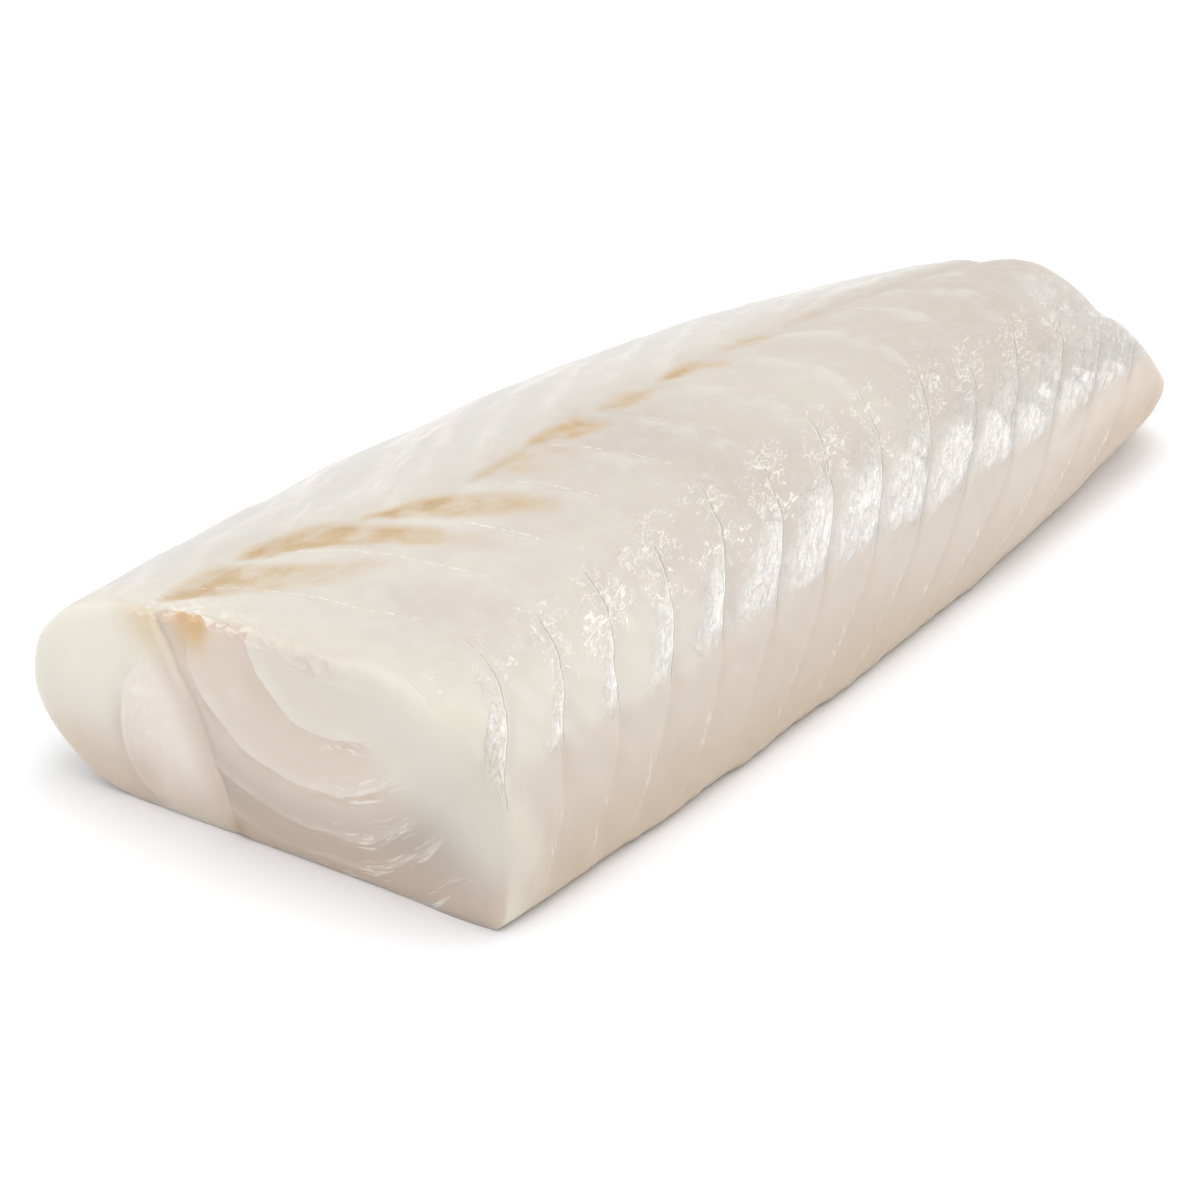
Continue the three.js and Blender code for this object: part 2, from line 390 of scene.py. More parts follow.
def loinMeasures(places):
    # mm from the cut, across and up, and the angle round the line on the underside
    x = places[:, 0] / millimetre - loinOrigin["x"]
    y = places[:, 1] / millimetre - loinOrigin["y"]
    z = places[:, 2] / millimetre
    angle = np.degrees(np.arctan2(z, outside["axisY"] - y))
    return x, y, z, angle


def roughness3d(points, size, depth=3):
    # smooth random values between about -1 and 1, one for each point
    return np.array([noise.fractal(Vector(p) / size, 1.0, 2.0, depth) for p in points])


def writeField(mesh, name, values):
    field = mesh.attributes.new(name, "FLOAT", "POINT")
    field.data.foreach_set("value", np.asarray(values).astype(np.float32))


def copyNode(name, pieceName):
    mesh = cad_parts[name].data.copy()
    mesh.name = pieceName
    mesh.materials.clear()
    piece = bpy.data.objects.new(pieceName, mesh)
    bpy.context.scene.collection.objects.link(piece)
    makeCurrent(piece)
    bpy.ops.object.mode_set(mode="EDIT")
    bpy.ops.mesh.select_all(action="SELECT")
    bpy.ops.mesh.remove_doubles(threshold=0.00001)
    bpy.ops.mesh.tris_convert_to_quads(face_threshold=math.radians(180), shape_threshold=math.radians(180))
    bpy.ops.object.mode_set(mode="OBJECT")
    return piece


def applyModifier(piece, kind, **settings):
    makeCurrent(piece)
    modifier = piece.modifiers.new(kind.title(), kind)
    for name, value in settings.items():
        setattr(modifier, name, value)
    bpy.ops.object.modifier_apply(modifier=modifier.name)


def selectFaces(piece, chosen):
    # chosen is one true or false for each face
    makeCurrent(piece)
    bpy.ops.object.mode_set(mode="EDIT")
    bpy.ops.mesh.select_mode(type="FACE")
    bpy.ops.mesh.select_all(action="DESELECT")
    bpy.ops.object.mode_set(mode="OBJECT")
    piece.data.polygons.foreach_set("select", chosen)
    bpy.ops.object.mode_set(mode="EDIT")


def facePlaces(mesh):
    centres = np.zeros(len(mesh.polygons) * 3)
    normals = np.zeros(len(mesh.polygons) * 3)
    mesh.polygons.foreach_get("center", centres)
    mesh.polygons.foreach_get("normal", normals)
    return centres.reshape(-1, 3), normals.reshape(-1, 3)


def facingCut(x, normals):
    # 1 on the cut face and 0 on the skin, whatever the underside does to the normals
    sideways = np.stack([normals[:, 0], normals[:, 1], np.maximum(normals[:, 2], 0)])
    return -normals[:, 0] / (np.linalg.norm(sideways, axis=0) + 1e-9) * (x < 12)


def plainForm(loin):
    # takes the solid's coarse flakes off, so that the fine ones don't double them
    mesh = loin.data
    places = readPlaces(mesh)
    normals = readNormals(mesh)
    x, y, z, angle = loinMeasures(places)
    onCut = facingCut(x, normals) > 0.4
    onFar = smoothRise(normals[:, 0], 0.35, 0.75) * smoothRise(x, 190, 203)
    skin = ~onCut & (z > 0.01)
    relief = coarseFlakes(x, angle) * smoothRise(z, 0, 6) * (1 - onFar) * millimetre
    across = normals.copy()
    across[:, 0] = 0
    across /= np.linalg.norm(across, axis=1, keepdims=True) + 1e-9
    places[skin] -= (across * relief[:, None])[skin]
    inFromRim = distanceToLine(y, z, cutOutline()) / (rimRadiusAt(y, z) + 0.5)
    toPlane = (cutPlane(y, z) + loinOrigin["x"]) * millimetre - places[:, 0]
    places[:, 0] += onCut * smoothRise(inFromRim, 0.5, 1.0) * toPlane
    writePlaces(mesh, places)


def spreadFaces(loin):
    # one face for the flat underside, and a finer grid on the cut face
    centres, normals = facePlaces(loin.data)
    selectFaces(loin, (normals[:, 2] < -0.95) & (centres[:, 2] < 0.0002))
    bpy.ops.mesh.dissolve_faces()
    bpy.ops.object.mode_set(mode="OBJECT")
    centres, normals = facePlaces(loin.data)
    x, y, z, _ = loinMeasures(centres)
    inside = distanceToLine(y, z, cutOutline()) > rimRadiusAt(y, z) + 0.5
    low = z < 6
    selectFaces(loin, (normals[:, 0] < -0.9) & (x < 6) & (inside | low))
    bpy.ops.mesh.subdivide(number_cuts=1)
    bpy.ops.object.mode_set(mode="OBJECT")


def addFlakes(loin):
    mesh = loin.data
    places = readPlaces(mesh)
    normals = readNormals(mesh)
    x, y, z, angle = loinMeasures(places)
    facing = facingCut(x, normals)
    alongTop = smoothRise(y, -24, -12) * smoothRise(y, 32, 22) * smoothRise(z, 22, 30)
    cut = smoothRise(facing, 0.1 + 0.5 * alongTop, 0.65 + 0.2 * alongTop)
    millimetres = places / millimetre
    wander = fineFlakes["wander"] * roughness3d(millimetres, 22)
    stray = 0.8 * roughness3d(millimetres, 11)
    lumps = fineFlakes["swell"] * roughness3d(millimetres + 40, 26, 2)
    lumps += fineFlakes["dimple"] * roughness3d(millimetres + 80, 5, 2)
    phase = flakePhase(x, angle) - cordShift(x, angle) / outside["flakeSpacing"] + wander
    lateral = angle - lateralAngleAt(x)
    brush = roughness3d(millimetres * (0.7, 1, 1) + 120, 5)
    tan = tanField(lateral + 10 * wander + 1.5 * brush, phase + 0.5 * wander, brush)

    clearOfFoot = smoothRise(z, 0.3, 6)
    farEnd = smoothRise(normals[:, 0], 0.3, 0.6) * smoothRise(x, 150, 190)
    band = smoothRise(angle, 26, 31) * smoothRise(angle, 58, 48) * smoothRise(x, 2, 12)
    folds = np.abs(roughness3d(millimetres * (0.8, 1, 1), 3.2, 2))
    relief = fineFlakeRelief(x, angle, phase) * (1 - farEnd) + lumps - 0.3 * tan
    relief += fineFlakes["crinkle"] * band * np.minimum(folds * 4, 1)
    relief += 0.4 * smoothRise(lateral, -1.5, 1.5) * smoothRise(lateral, 14, 4)
    places += normals * (relief * clearOfFoot * (1 - cut) * millimetre)[:, None]

    fromRim = distanceToLine(y, z, cutOutline()) - rimRadiusAt(y, z)
    ripple = cutFace["ripple"] * roughness3d(millimetres + 60, 9)
    clearness = lipClearness(y, z, roughness3d(millimetres + 30, 6, 2))
    inFace = smoothRise(facing, 0.75, 0.97) * smoothRise(z, 0.1, 1.2)
    ragged = np.maximum(roughness3d(millimetres + 15, 1.8, 2) + 0.4, 0)
    fringe = cutFace["fringe"] * cut * alongTop * smoothRise(fromRim, 1.8, 0.4) * ragged
    places[:, 0] -= (inFace * (cutRelief(y, z, stray, clearness) + ripple) + fringe) * millimetre
    jut = coarseFlakes(x + 4 * stray, angle) + 1.5 * roughness3d(millimetres, 17, 2)
    jut *= fineFlakes["footJut"] * smoothRise(x, 15, 40)
    places[:, 1] -= jut * smoothRise(z, 5, 0.5) * smoothRise(-normals[:, 1], 0.3, 0.7) * millimetre
    places[:, 2] = np.maximum(places[:, 2], 0)
    writePlaces(mesh, places)

    writeField(mesh, "along", x)
    writeField(mesh, "angle", angle)
    writeField(mesh, "flake", phase)
    writeField(mesh, "lateral", lateral)
    writeField(mesh, "tan", tan)
    writeField(mesh, "across", y)
    writeField(mesh, "up", z)
    writeField(mesh, "mainRings", mainRings(y, z, stray))
    writeField(mesh, "sideRings", sideRings(y, z, stray))
    writeField(mesh, "bearing", nestBearing(y, z))
    writeField(mesh, "seamSide", seamSide(y, z))
    writeField(mesh, "notch", notchField(y, z))
    writeField(mesh, "fromRim", fromRim)
    writeField(mesh, "clearness", clearness)
    writeField(mesh, "cut", cut)
    writeField(mesh, "farEnd", farEnd)


def makeLoin():
    loin = copyNode("cod_loin", "codLoin")
    plainForm(loin)
    applyModifier(loin, "SUBSURF", levels=2, render_levels=2)
    spreadFaces(loin)
    addFlakes(loin)
    makeCurrent(loin)
    bpy.ops.object.shade_smooth()
    return loin


loin = makeLoin()
print("loin shaped:", sum(len(face.vertices) - 2 for face in loin.data.polygons), "triangles")


# Small helpers for the materials
def putNode(tree, kind, **settings):
    node = tree.nodes.new(kind)
    for name, value in settings.items():
        setattr(node, name, value)
    return node


def feed(tree, socket, value):
    if isinstance(value, bpy.types.NodeSocket):
        tree.links.new(value, socket)
    else:
        socket.default_value = value


def calc(tree, operation, first, second=0.0, third=0.0, clamp=False):
    node = putNode(tree, "ShaderNodeMath", operation=operation, use_clamp=clamp)
    for socket, value in zip(node.inputs, (first, second, third)):
        feed(tree, socket, value)
    return node.outputs[0]


def add(tree, *values):
    total = values[0]
    for value in values[1:]:
        total = calc(tree, "ADD", total, value)
    return total


def times(tree, *values):
    product = values[0]
    for value in values[1:]:
        product = calc(tree, "MULTIPLY", product, value)
    return product


def ramp(tree, value, low, high, start=0.0, end=1.0):
    node = putNode(tree, "ShaderNodeMapRange", interpolation_type="SMOOTHSTEP")
    for socket, number in zip(node.inputs, (value, low, high, start, end)):
        feed(tree, socket, number)
    return node.outputs[0]


def hump(tree, value, middle, width):
    # 1 at the middle and 0 further away than the width
    return ramp(tree, calc(tree, "ABSOLUTE", calc(tree, "SUBTRACT", value, middle)), width, 0.0)


def field(tree, name):
    return putNode(tree, "ShaderNodeAttribute", attribute_name=name).outputs["Fac"]


def mixColour(tree, amount, first, second):
    node = putNode(tree, "ShaderNodeMix", data_type="RGBA")
    feed(tree, node.inputs[0], amount)
    feed(tree, node.inputs[6], first)
    feed(tree, node.inputs[7], second)
    return node.outputs[2]


def combine(tree, x, y, z=0.0):
    node = putNode(tree, "ShaderNodeCombineXYZ")
    for socket, value in zip(node.inputs, (x, y, z)):
        feed(tree, socket, value)
    return node.outputs[0]


def noiseValue(tree, vector, scale, detail=3.0, roughness=0.55, distortion=0.0):
    node = putNode(tree, "ShaderNodeTexNoise")
    feed(tree, node.inputs["Vector"], vector)
    node.inputs["Scale"].default_value = scale
    node.inputs["Detail"].default_value = detail
    node.inputs["Roughness"].default_value = roughness
    node.inputs["Distortion"].default_value = distortion
    return node.outputs["Fac"]


def creases(tree, vector, scale, width, distortion=1.2):
    # thin lines where a noise crosses its middle value
    value = noiseValue(tree, vector, scale, 2.0, 0.5, distortion)
    return hump(tree, value, 0.5, width)


def rgb(red, green, blue):
    # an 8-bit display colour as the linear colour that a shader takes
    def linear(channel):
        share = channel / 255
        return share / 12.92 if share <= 0.04045 else ((share + 0.055) / 1.055) ** 2.4

    return (linear(red), linear(green), linear(blue), 1.0)


flesh = {
    "ivory": rgb(207, 201, 190),
    "rose": rgb(199, 190, 182),
    "dusk": rgb(187, 176, 166),
    "pale": rgb(206, 203, 197),
    "cream": rgb(214, 209, 195),
    "side": rgb(206, 195, 182),
    "low": rgb(196, 178, 158),
    # foot: painted shade, the dark line where the flesh meets the floor
    "foot": rgb(150, 122, 88),
    "tan": rgb(196, 170, 134),
    "brown": rgb(178, 150, 112),
    # white lines: seams, wisps, cords and threads; on the side strips, the cut's fibres and the rim's
    # strands partly painted highlight
    "line": rgb(242, 237, 228),
    # painted shade in the membrane's creases and in the groove beside each cord
    "creaseShade": rgb(172, 165, 157),
    # the membrane's silvery white, laid on thickest where the shoulder mirrors the key, so partly painted
    # sheen
    "membrane": rgb(226, 225, 222),
    "vein": rgb(212, 209, 203),
    "core": rgb(218, 210, 198),
    "ring": rgb(218, 205, 192),
    # outer: the cut's outer, lower rings darker, painted shade towards the floor
    "outer": rgb(182, 170, 160),
    # painted highlight along each lip of the cut and of the lens
    "lipHighlight": rgb(232, 226, 217),
    # a darker brown: painted shade under each lip, round the lens, in the main seam's groove and towards
    # the floor, and the darker tone by the seam and low on the left
    "brownAndShade": rgb(198, 178, 160),
    "lobe": rgb(227, 223, 211),
    "lens": rgb(228, 219, 211),
    "strip": rgb(236, 229, 216),
    "notch": rgb(220, 190, 148),
    "haze": rgb(213, 188, 148),
    "greenish": rgb(216, 213, 202),
}

finish = {
    "grain": 16.8,            # mm in a flake
    "degree": 0.8,            # mm in a degree at the shoulder
    "bandFoot": 30.0,         # degrees where the shoulder's membrane starts
    "wrinkleScale": 0.75,
    "foldScale": 0.34,
    "wrinkle": 0.09,          # heights in mm
    "fold": 1.0,
    "cord": 0.26,
    "roughness": (0.5, 0.26),             # where dry and where wet
    "coat": (0.12, 1.0),
    "coatRoughness": 0.12,
    "ior": 1.4,
    "subsurface": 0.6,
    "subsurfaceRadius": (1.0, 0.7, 0.5),
    "subsurfaceScale": 0.006,
}


def around(tree, value, width):
    # a value of 0 to 1 moved to within the width on both sides of 0
    return times(tree, calc(tree, "SUBTRACT", value, 0.5), 2.0 * width)


def aboveFoot(tree, at):
    # degrees above the foot of the shoulder's membrane
    lift = ramp(tree, at["along"], 130.0, 80.0, 0.0, 1.6)
    lift = add(tree, lift, ramp(tree, at["flake"], 0.3, -0.1, 0.0, -5.0))
    foot = add(tree, lift, around(tree, at["cloud5"], 2.5), finish["bandFoot"])
    return calc(tree, "SUBTRACT", at["angle"], foot)


def skinColour(tree, at):
    cloud = noiseValue(tree, at["place"], 38.0, 4.0)
    colour = mixColour(tree, ramp(tree, cloud, 0.36, 0.64), flesh["ivory"], flesh["rose"])
    dusk = times(tree, ramp(tree, at["along"], 45.0, 95.0), ramp(tree, at["mottle"], 0.3, 0.6, 0.45, 0.75))
    dusk = times(tree, dusk, add(tree, 1.0, times(tree, hump(tree, at["along"], 120.0, 28.0), -0.5)))
    dusk = add(tree, dusk, ramp(tree, at["along"], 150.0, 185.0, 0.0, 0.25))
    colour = mixColour(tree, dusk, colour, flesh["dusk"])
    colour = mixColour(tree, ramp(tree, at["mottle"], 0.42, 0.7, 0.0, 0.3), colour, flesh["vein"])

    # soft pale streaks towards each flake's far edge, on the top
    onTop = times(tree, ramp(tree, at["angle"], 58.0, 70.0), ramp(tree, at["lateral"], 4.0, -4.0))
    paleBand = times(tree, ramp(tree, at["share"], 0.45, 0.9), ramp(tree, at["share"], 1.0, 0.92))
    palePart = times(tree, paleBand, onTop, ramp(tree, at["cloud4"], 0.4, 0.62))
    colour = mixColour(tree, times(tree, palePart, 0.5), colour, flesh["vein"])

    # the paler left side, with slanting wisps of membrane along its flakes
    leftSide = ramp(tree, at["lateral"], -3.0, 14.0)
    colour = mixColour(tree, times(tree, leftSide, 0.8), colour, flesh["pale"])
    slantAlong = add(tree, times(tree, at["along"], 0.95), times(tree, at["angle"], 0.24))
    slantAcross = add(tree, times(tree, at["angle"], 0.76), times(tree, at["along"], -0.3))
    slant = combine(tree, times(tree, slantAlong, 0.03), times(tree, slantAcross, 0.16))
    wisp = ramp(tree, noiseValue(tree, slant, 1.0, 4.0, 0.6, 0.6), 0.5, 0.72)
    leftFlake = add(tree, at["flake"], times(tree, at["lateral"], -0.05), around(tree, at["cloud2"], 0.25))
    fromLine = calc(tree, "SUBTRACT", leftFlake, calc(tree, "ROUND", leftFlake))
    byLine = times(tree, hump(tree, fromLine, 0.0, 0.3), ramp(tree, at["cloud4"], 0.34, 0.6))
    wisp = calc(tree, "MAXIMUM", wisp, times(tree, byLine, ramp(tree, at["lateral"], -2.0, 4.0), 0.45))
    colour = mixColour(tree, times(tree, wisp, leftSide, 0.5), colour, flesh["line"])

    # browner low on the right side, with painted shade just past each seam and painted light along slanting
    # fibrous strips before it
    onSide = ramp(tree, at["overFoot"], 3.5, -1.5)
    colour = mixColour(tree, times(tree, onSide, 0.9), colour, flesh["side"])
    paler = times(tree, hump(tree, at["along"], 140.0, 45.0), 7.0)
    nearCut = ramp(tree, at["along"], 22.0, 4.0, 0.0, 7.0)
    farLow = ramp(tree, at["along"], 160.0, 200.0, 0.0, -7.0)
    lowness = add(tree, at["angle"], paler, nearCut, farLow, around(tree, at["cloud2"], 6.0))
    colour = mixColour(tree, times(tree, ramp(tree, lowness, 29.0, 6.0), 0.95), colour, flesh["low"])
    stepShade = times(tree, ramp(tree, at["share"], 0.35, 0.0), onSide)
    colour = mixColour(tree, times(tree, stepShade, 0.3), colour, flesh["low"])
    # painted light before each seam on the side, broken into fibrous strands
    strip = times(tree, ramp(tree, at["share"], 0.8, 0.97), hump(tree, at["angle"], 15.0, 11.0))
    strip = times(tree, strip, at["strands"])
    colour = mixColour(tree, times(tree, strip, 0.6), colour, flesh["line"])

    # cream by the cut, then the tan muscle
    creamEdge = add(tree, at["along"], around(tree, at["cloud2"], 6.0))
    creamReach = ramp(tree, at["angle"], 44.0, 60.0, 16.0, 9.0)
    cream = ramp(tree, calc(tree, "DIVIDE", creamEdge, creamReach), 1.0, 0.2, 0.0, 0.9)
    cream = times(tree, cream, ramp(tree, at["angle"], 44.0, 60.0, 1.0, 0.4))
    colour = mixColour(tree, cream, colour, flesh["cream"])
    patch = times(tree, at["tan"], ramp(tree, at["mottle"], 0.3, 0.62, 0.7, 1.3))
    patch = times(tree, patch, ramp(tree, at["streak"], 0.3, 0.6, 0.85, 1.15))
    colour = mixColour(tree, calc(tree, "MINIMUM", patch, 1.0), colour, flesh["tan"])
    deep = times(tree, ramp(tree, at["tan"], 0.5, 1.0), ramp(tree, at["mottle"], 0.42, 0.62))
    colour = mixColour(tree, times(tree, deep, 0.45), colour, flesh["brown"])
    # painted shade: the dark line along the floor
    foot = ramp(tree, at["up"], 1.6, 0.2)
    return mixColour(tree, times(tree, foot, 0.8), colour, flesh["foot"])


def cutColour(tree, at):
    rings = at["mainRings"]
    share = calc(tree, "FRACT", rings)
    clear = at["clearness"]
    diagonal = add(tree, times(tree, at["across"], -1.0), times(tree, at["up"], 0.9), -18.0)
    toRight = times(tree, ramp(tree, diagonal, 20.0, 40.0), ramp(tree, at["up"], 4.0, 22.0, 0.7, 1.0))
    pastCore = ramp(tree, rings, 0.98, 1.02)
    main = mixColour(tree, times(tree, pastCore, ramp(tree, clear, 0.0, 0.6)), flesh["core"], flesh["ring"])
    # darker out on the lower rings: painted shade towards the floor
    main = mixColour(tree, ramp(tree, rings, 1.6, 3.6), main, flesh["outer"])
    # painted shadow: darker just below each lip, where the flake above would shade the next
    under = times(tree, calc(tree, "POWER", calc(tree, "SUBTRACT", 1.0, share), 4.0), pastCore, clear)
    main = mixColour(tree, times(tree, under, 0.5), main, flesh["brownAndShade"])
    # painted highlight just inside each lip
    lip = times(tree, ramp(tree, share, 0.7, 0.98), clear)
    main = mixColour(tree, times(tree, lip, 0.4), main, flesh["lipHighlight"])
    main = mixColour(tree, times(tree, toRight, 0.75), main, flesh["greenish"])

    inLens = ramp(tree, at["sideRings"], 1.15, 0.85)
    side = mixColour(tree, inLens, flesh["lobe"], flesh["lens"])
    bySeam = times(tree, ramp(tree, at["seamSide"], 6.0, 0.5), ramp(tree, at["up"], 36.0, 26.0))
    side = mixColour(tree, times(tree, bySeam, 0.55), side, flesh["brownAndShade"])
    lensShadow = times(tree, ramp(tree, at["sideRings"], 0.98, 1.02), ramp(tree, at["sideRings"], 1.7, 1.0))
    lensShadow = times(tree, lensShadow, clear, ramp(tree, at["up"], 26.0, 10.0, 0.3, 1.0))
    side = mixColour(tree, times(tree, lensShadow, 0.5), side, flesh["brownAndShade"])
    lowLeft = times(tree, ramp(tree, at["up"], 24.0, 4.0), ramp(tree, at["across"], 18.0, 26.0))
    side = mixColour(tree, times(tree, lowLeft, 0.45), side, flesh["brownAndShade"])
    side = mixColour(tree, times(tree, ramp(tree, at["across"], 36.0, 48.0), 0.6), side, flesh["greenish"])
    # painted highlight along the lens's lip
    lensLipHighlight = times(tree, hump(tree, at["sideRings"], 0.96, 0.1), clear)
    side = mixColour(tree, times(tree, lensLipHighlight, 0.4), side, flesh["lipHighlight"])
    haze = times(tree, hump(tree, at["across"], 20.0, 11.0), ramp(tree, at["up"], 24.0, 36.0))
    side = mixColour(tree, times(tree, haze, 0.7), side, flesh["haze"])

    onLeft = ramp(tree, at["seamSide"], -0.2, 0.2)
    colour = mixColour(tree, onLeft, main, side)
    strip = times(tree, hump(tree, at["seamSide"], 0.9, 1.3), ramp(tree, at["up"], 20.0, 28.0))
    colour = mixColour(tree, times(tree, strip, 0.35), colour, flesh["strip"])
    # painted shade in the main seam's groove, on its right
    groove = times(tree, hump(tree, at["seamSide"], -0.4, 1.0), ramp(tree, at["up"], 4.0, 18.0, 0.4, 1.0))
    colour = mixColour(tree, times(tree, groove, 0.18), colour, flesh["brownAndShade"])
    # painted shade: the cut darker towards the floor, less so on the right
    toFoot = add(tree, at["up"], around(tree, at["cloud4"], 3.0))
    shadeTowardsFloor = times(tree, ramp(tree, toFoot, 15.0, 1.0), add(tree, 0.65, times(tree, toRight, -0.3)))
    colour = mixColour(tree, shadeTowardsFloor, colour, flesh["brownAndShade"])
    # painted shade where the main seam meets the floor
    seamFootShade = times(tree, hump(tree, at["seamSide"], -0.3, 2.6), ramp(tree, at["up"], 5.0, 0.8))
    colour = mixColour(tree, times(tree, seamFootShade, 0.4), colour, flesh["foot"])
    notch = calc(tree, "MINIMUM", times(tree, at["notch"], 1.3), 1.0)
    return mixColour(tree, notch, colour, flesh["notch"])


# The shoulder's membrane, in mm along the loin, degrees up its side and shares of a flake
membrane = {
    "lateAlong": (8.0, 80.0),         # how late each leaf climbs, by the cut and beyond
    "late": (2.4, 0.9),
    "riseAlong": (45.0, 100.0),       # and how many degrees it climbs
    "rise": (23.0, 8.0),
    "startAlong": (40.0, 100.0),
    "startOver": (-4.0, 15.0),
    "cordAt": -0.016,
    "cordWidth": 0.022,
    "gapAt": 0.012,
    "gapWidth": 0.02,
    "threadsUnder": (-12.0, -3.0),    # where the threads start and end round the peak
    "threadsOver": (18.0, 3.0),
}


def bandMasks(tree, at):
    # the shoulder's shiny membrane, a leaf in each flake that peaks at its far edge,
    # with a cord down that edge and threads beyond the peak
    along = at["along"]
    late = ramp(tree, along, *membrane["lateAlong"], *membrane["late"])
    rise = ramp(tree, along, *membrane["riseAlong"], *membrane["rise"])
    climb = times(tree, calc(tree, "POWER", at["share"], late), rise)
    startNear, startFar = (finish["bandFoot"] + over for over in membrane["startOver"])
    start = ramp(tree, along, *membrane["startAlong"], startNear, startFar)
    first = times(tree, ramp(tree, at["flake"], 0.0, -0.02), ramp(tree, at["share"], 0.45, 0.75), rise)
    top = add(tree, start, calc(tree, "MAXIMUM", climb, first), around(tree, at["cloud3"], 10.0))
    overFoot = at["overFoot"]
    leaf = ramp(tree, calc(tree, "SUBTRACT", top, at["angle"]), -2.0, 8.0)
    leaf = times(tree, leaf, ramp(tree, overFoot, -1.0, 4.0), ramp(tree, along, 0.5, 4.0), at["skin"])
    leaf = times(tree, leaf, ramp(tree, at["cloud5"], 0.36, 0.6, 0.7, 1.0))
    leaf = times(tree, leaf, ramp(tree, at["share"], 0.0, 0.5, 0.35, 1.0))

    peak = add(tree, start, rise)
    overPeak = calc(tree, "SUBTRACT", at["angle"], peak)
    fray = times(tree, ramp(tree, overPeak, 14.0, 2.0), ramp(tree, at["cloud5"], 0.4, 0.52))
    cordZone = calc(tree, "MAXIMUM", fray, ramp(tree, overPeak, 5.0, 0.0))
    cordZone = times(tree, cordZone, ramp(tree, overFoot, -2.0, 1.0), ramp(tree, along, 1.0, 6.0))
    cordZone = times(tree, cordZone, at["skin"])
    wavy = add(tree, at["fromSeam"], around(tree, at["cloud5"], 0.03))
    cord = times(tree, hump(tree, wavy, membrane["cordAt"], membrane["cordWidth"]), cordZone)
    shadedGroove = times(tree, hump(tree, wavy, membrane["gapAt"], membrane["gapWidth"]), cordZone)

    reach = ramp(tree, overPeak, *membrane["threadsUnder"])
    reach = times(tree, reach, ramp(tree, overPeak, *membrane["threadsOver"]))
    swung = add(tree, at["fromSeam"], around(tree, at["cloud2"], 0.5))
    cluster = ramp(tree, calc(tree, "ABSOLUTE", swung), 0.65, 0.1)
    threadZone = times(tree, reach, cluster, at["skin"], ramp(tree, along, 6.0, 40.0, 0.3, 1.0))
    return leaf, cord, shadedGroove, threadZone


fieldNames = (
    "along", "angle", "flake", "lateral", "tan", "across", "up", "mainRings",
    "sideRings", "bearing", "seamSide", "notch", "fromRim", "clearness", "cut", "farEnd",
)


